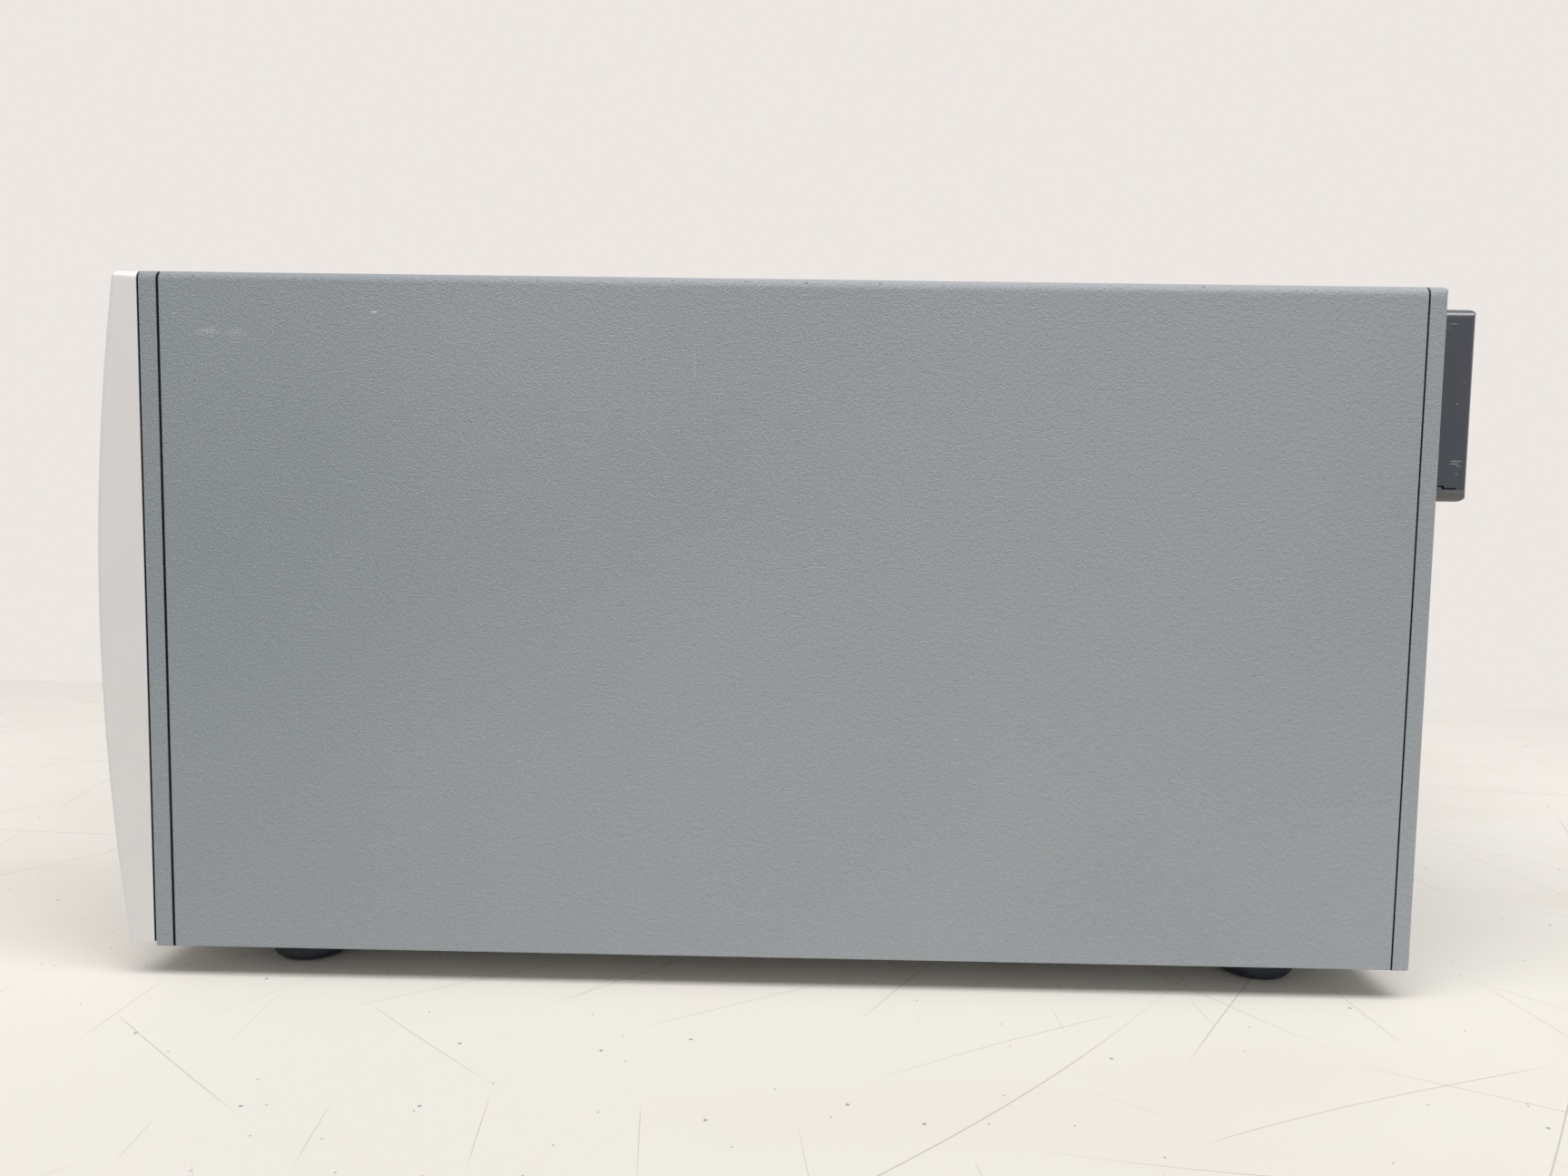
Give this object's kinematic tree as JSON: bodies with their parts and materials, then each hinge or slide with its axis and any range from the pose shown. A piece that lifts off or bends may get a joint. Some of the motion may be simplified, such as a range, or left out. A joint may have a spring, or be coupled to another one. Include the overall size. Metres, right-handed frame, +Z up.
{
  "type": "microplate reader",
  "caption": "Benchtop microplate reader: painted casing with a bowed front, a hinged plate door, a belt-driven X-Y plate carrier, filter-wheel optics and a rear fan with a filter hood.",
  "frame": {"origin": "centre of the footprint, on the bench under the feet", "axes": "+Z up, the plate door faces -Y, +X is on the right seen from the front"},
  "size_m": [0.42, 0.5063, 0.262],
  "materials": {
    "casing_paint": "fine textured powder coat",
    "zinc_steel": "zinc-plated sheet",
    "silver_moulding": "satin silver paint",
    "black_foam": "closed-cell foam",
    "black_rubber": "moulded rubber",
    "bright_steel": "ground or plated",
    "black_steel": "black oxide",
    "black_plastic": "fine matt",
    "gloss_black": "polished, lightly scuffed",
    "brass": "turned",
    "circuit_board": "solder mask",
    "aluminium": "machined",
    "black_anodised": "anodised or painted black",
    "belt_rubber": "toothed belt, drawn smooth",
    "light_pipe": "clear moulded"
  },
  "bodies": {
    "frame": {"front_frame": "casing_paint", "rear_panel": "casing_paint", "base_pan": "zinc_steel", "top_cover": "casing_paint", "front_fascia": "silver_moulding", "fascia_gasket": "black_foam", "cover_seals": "black_foam", "tie_rods": "bright_steel", "casing_screws": "black_steel", "fascia_screws": "bright_steel", "foot_front_left": "black_rubber", "foot_front_right": "black_rubber", "foot_rear_left": "black_rubber", "foot_rear_right": "black_rubber", "foot_screws": "bright_steel", "door_hinge_pin": "bright_steel", "door_seal": "black_foam", "status_light_pipe": "light_pipe", "front_board": "circuit_board", "fan_housing": "black_plastic", "filter_hood": "gloss_black", "filter_foam": "black_foam", "fan_guard": "black_plastic", "fan_screws": "bright_steel", "power_inlet": "black_plastic", "inlet_pins": "brass", "power_supply": "circuit_board", "main_board": "circuit_board", "usb_port": "bright_steel", "serial_port": "bright_steel", "lower_deck": "aluminium", "deck_posts": "bright_steel", "x_rails": "bright_steel", "x_rail_blocks": "aluminium", "x_motor": "black_anodised", "x_belt": "belt_rubber", "upper_deck": "aluminium", "flash_lamp": "aluminium", "wheel_motors": "black_anodised", "optics_block": "black_anodised", "detectors": "black_anodised"},
    "door": {"plate_door": "silver_moulding"},
    "button": {"load_button": "black_plastic"},
    "fan": {"fan_rotor": "black_plastic"},
    "rocker": {"power_rocker": "black_plastic"},
    "carriage": {"front_crossbar": "aluminium", "rear_crossbar": "aluminium", "x_bushes": "brass", "y_rails": "bright_steel", "y_motor": "black_anodised", "y_belt": "belt_rubber"},
    "carrier": {"plate_carrier": "black_plastic", "y_bushes": "brass"},
    "clamp": {"plate_clamp": "bright_steel"},
    "x_drive": {"x_drive_pulley": "aluminium"},
    "x_return": {"x_idler": "aluminium"},
    "y_drive": {"y_drive_pulley": "aluminium"},
    "y_return": {"y_idler": "aluminium"},
    "excitation": {"excitation_wheel": "aluminium"},
    "emission": {"emission_wheel": "aluminium"}
  },
  "joints": [
    {"name": "x_travel", "type": "slide", "parent": "frame", "child": "carriage", "axis": [-1, 0, 0], "range_m": [-0.099, 0]},
    {"name": "y_travel", "type": "slide", "parent": "carriage", "child": "carrier", "axis": [0, -1, 0], "range_m": [0, 0.309]},
    {"name": "door_swing", "type": "hinge", "parent": "frame", "child": "door", "pos_m": [-0.0495, -0.2488, 0.1105], "axis": [-1, 0, 0], "range_deg": [0, 97]},
    {"name": "clamp_turn", "type": "hinge", "parent": "carrier", "child": "clamp", "pos_m": [0.00238, 0.05569, 0.083], "axis": [0, 0, -1], "range_deg": [0, 6], "stiffness_Nm_per_rad": 0.05, "springref_deg": -5.73},
    {"name": "button_press", "type": "slide", "parent": "frame", "child": "button", "axis": [0, 1, 0], "range_m": [0, 0.001], "stiffness_N_per_m": 600, "springref_m": -0.001},
    {"name": "power_rock", "type": "hinge", "parent": "frame", "child": "rocker", "pos_m": [-0.15, 0.23525, 0.073], "axis": [1, 0, 0], "range_deg": [-20, 0]},
    {"name": "fan_spin", "type": "hinge", "parent": "frame", "child": "fan", "pos_m": [0.1595, 0.22085, 0.2213], "axis": [0, 1, 0], "continuous": true},
    {"name": "excitation_turn", "type": "hinge", "parent": "frame", "child": "excitation", "pos_m": [0.084, 0.00995, 0.178], "axis": [1, 0, 0], "continuous": true},
    {"name": "emission_turn", "type": "hinge", "parent": "frame", "child": "emission", "pos_m": [-0.084, 0.00995, 0.178], "axis": [1, 0, 0], "continuous": true},
    {"name": "x_drive_spin", "type": "hinge", "parent": "frame", "child": "x_drive", "pos_m": [0.15, 0.16335, 0.06], "axis": [0, -1, 0], "continuous": true},
    {"name": "x_return_spin", "type": "hinge", "parent": "frame", "child": "x_return", "pos_m": [-0.15, 0.16335, 0.06], "axis": [0, -1, 0], "continuous": true},
    {"name": "y_drive_spin", "type": "hinge", "parent": "carriage", "child": "y_drive", "pos_m": [-0.1295, 0.15185, 0.097], "axis": [-1, 0, 0], "continuous": true},
    {"name": "y_return_spin", "type": "hinge", "parent": "carriage", "child": "y_return", "pos_m": [-0.1295, -0.21715, 0.097], "axis": [-1, 0, 0], "continuous": true}
  ],
  "couplings": [
    {"joint": "door_swing", "follows": "y_travel", "rad_per_m": 5.4224},
    {"joint": "x_drive_spin", "follows": "x_travel", "rad_per_m": 125.66},
    {"joint": "x_return_spin", "follows": "x_travel", "rad_per_m": 125.66},
    {"joint": "y_drive_spin", "follows": "y_travel", "rad_per_m": 125.66},
    {"joint": "y_return_spin", "follows": "y_travel", "rad_per_m": 125.66}
  ]
}
